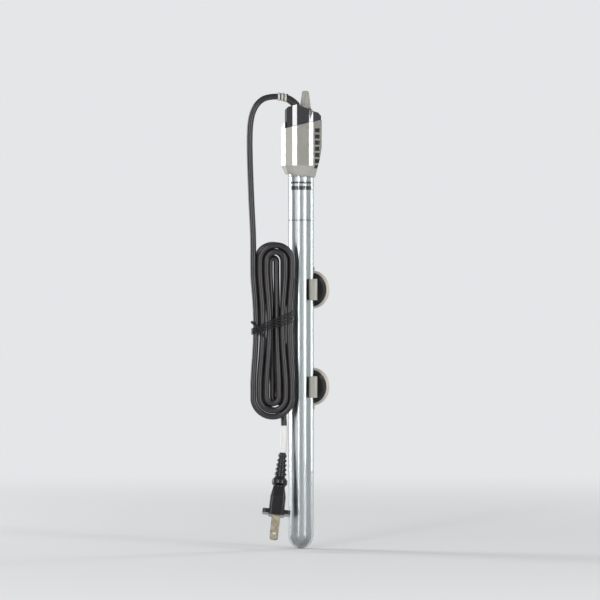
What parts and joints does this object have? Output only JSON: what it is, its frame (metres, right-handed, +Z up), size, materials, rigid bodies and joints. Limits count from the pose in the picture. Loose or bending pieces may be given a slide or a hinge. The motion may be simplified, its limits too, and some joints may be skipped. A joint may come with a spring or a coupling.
{
  "type": "submersible aquarium heater",
  "caption": "Glass tube heater with a faceted head, turning knob, scale windows, sliding suction clips and a mains cord tied in a hank with a flat-blade plug.",
  "frame": {"origin": "on the glass tube's axis, midway between the two suction clips", "axes": "+Z up the tube to the knob, -Y to the front of the head, the wall lies towards the cups"},
  "size_m": [0.0622, 0.0539, 0.343],
  "materials": {
    "borosilicate": "clear, polished",
    "mirror_sheet": "polished sheet",
    "ceramic": "matt ceramic",
    "heating_wire": "drawn wire",
    "mica": "mica board",
    "board": "laminate",
    "contact_metal": "stamped strip",
    "magnet": "sintered",
    "capacitor": "dipped",
    "lead_insulation": "smooth",
    "seal_rubber": "matt",
    "shell_grey": "glossy",
    "cap_smoke": "glossy",
    "lens_smoke": "smoked, clear",
    "lamp_red": "tinted, clear",
    "knob_grey": "satin",
    "spindle_white": "smooth",
    "ring_steel": "spring steel",
    "pointer_red": "bright",
    "gland_rubber": "satin",
    "liner_rubber": "matt",
    "clip_grey": "satin",
    "cup_rubber": "satin",
    "cord_grey": "satin",
    "tie_wire": "coated wire",
    "label_white": "paper under film",
    "plug_black": "moulded",
    "blade_metal": "plated"
  },
  "bodies": {
    "heater_body": {"glass_tube": "borosilicate", "mirror_sleeve": "mirror_sheet", "core_pad": "ceramic", "ceramic_core": "ceramic", "heating_winding": "heating_wire", "core_disc_lower": "mica", "core_disc_upper": "mica", "thermostat_board": "board", "fixed_contact": "contact_metal", "arm_clamp": "contact_metal", "snap_magnet": "magnet", "suppressor": "capacitor", "lead_wires": "lead_insulation", "tube_stopper": "spindle_white", "tube_seal": "seal_rubber", "head_shell": "shell_grey", "scale_lens": "lens_smoke", "top_cap": "cap_smoke", "spindle_seal": "seal_rubber", "cord_gland": "gland_rubber", "lamp_lens": "lamp_red", "cord_lead": "cord_grey", "cord_hank": "cord_grey", "cord_tail": "cord_grey", "cord_tie": "tie_wire", "cord_label": "label_white", "plug_boot": "plug_black", "plug_body": "plug_black", "plug_blades": "blade_metal"},
    "dial": {"knob": "knob_grey", "knob_spindle": "spindle_white", "spindle_clip": "ring_steel"},
    "pointer": {"scale_pointer": "pointer_red"},
    "contact_arm": {"bimetal_arm": "contact_metal"},
    "upper_band": {"upper_clip_liner": "liner_rubber"},
    "upper_holder": {"upper_clip": "clip_grey"},
    "upper_sucker": {"upper_cup": "cup_rubber"},
    "lower_band": {"lower_clip_liner": "liner_rubber"},
    "lower_holder": {"lower_clip": "clip_grey"},
    "lower_sucker": {"lower_cup": "cup_rubber"}
  },
  "joints": [
    {"name": "knob_turn", "type": "hinge", "parent": "heater_body", "child": "dial", "pos_m": [0.00345, 0, 0.172], "axis": [0, 0, 1], "range_deg": [-270, 270]},
    {"name": "pointer_slide", "type": "slide", "parent": "heater_body", "child": "pointer", "axis": [0, 0, 1], "range_m": [-0.011, 0.011]},
    {"name": "contact_open", "type": "hinge", "parent": "heater_body", "child": "contact_arm", "pos_m": [0, -0.0032, 0.1081], "axis": [1, 0, 0], "range_deg": [-1.5, 0]},
    {"name": "upper_clip_slide", "type": "slide", "parent": "heater_body", "child": "upper_band", "axis": [0, 0, 1], "range_m": [-0.018, 0.062]},
    {"name": "upper_clip_turn", "type": "hinge", "parent": "upper_band", "child": "upper_holder", "pos_m": [0, 0, 0.03655], "axis": [0, 0, 1], "range_deg": [-45, 15]},
    {"name": "upper_cup_spin", "type": "hinge", "parent": "upper_holder", "child": "upper_sucker", "pos_m": [0.00681, 0.0128, 0.03655], "axis": [0.4695, 0.8829, 0], "continuous": true},
    {"name": "lower_clip_slide", "type": "slide", "parent": "heater_body", "child": "lower_band", "axis": [0, 0, 1], "range_m": [-0.098, 0.018]},
    {"name": "lower_clip_turn", "type": "hinge", "parent": "lower_band", "child": "lower_holder", "pos_m": [0, 0, -0.03655], "axis": [0, 0, 1], "range_deg": [-45, 15]},
    {"name": "lower_cup_spin", "type": "hinge", "parent": "lower_holder", "child": "lower_sucker", "pos_m": [0.00681, 0.0128, -0.03655], "axis": [0.4695, 0.8829, 0], "continuous": true}
  ],
  "couplings": [
    {"joint": "pointer_slide", "follows": "knob_turn", "m_per_rad": -0.002334}
  ]
}
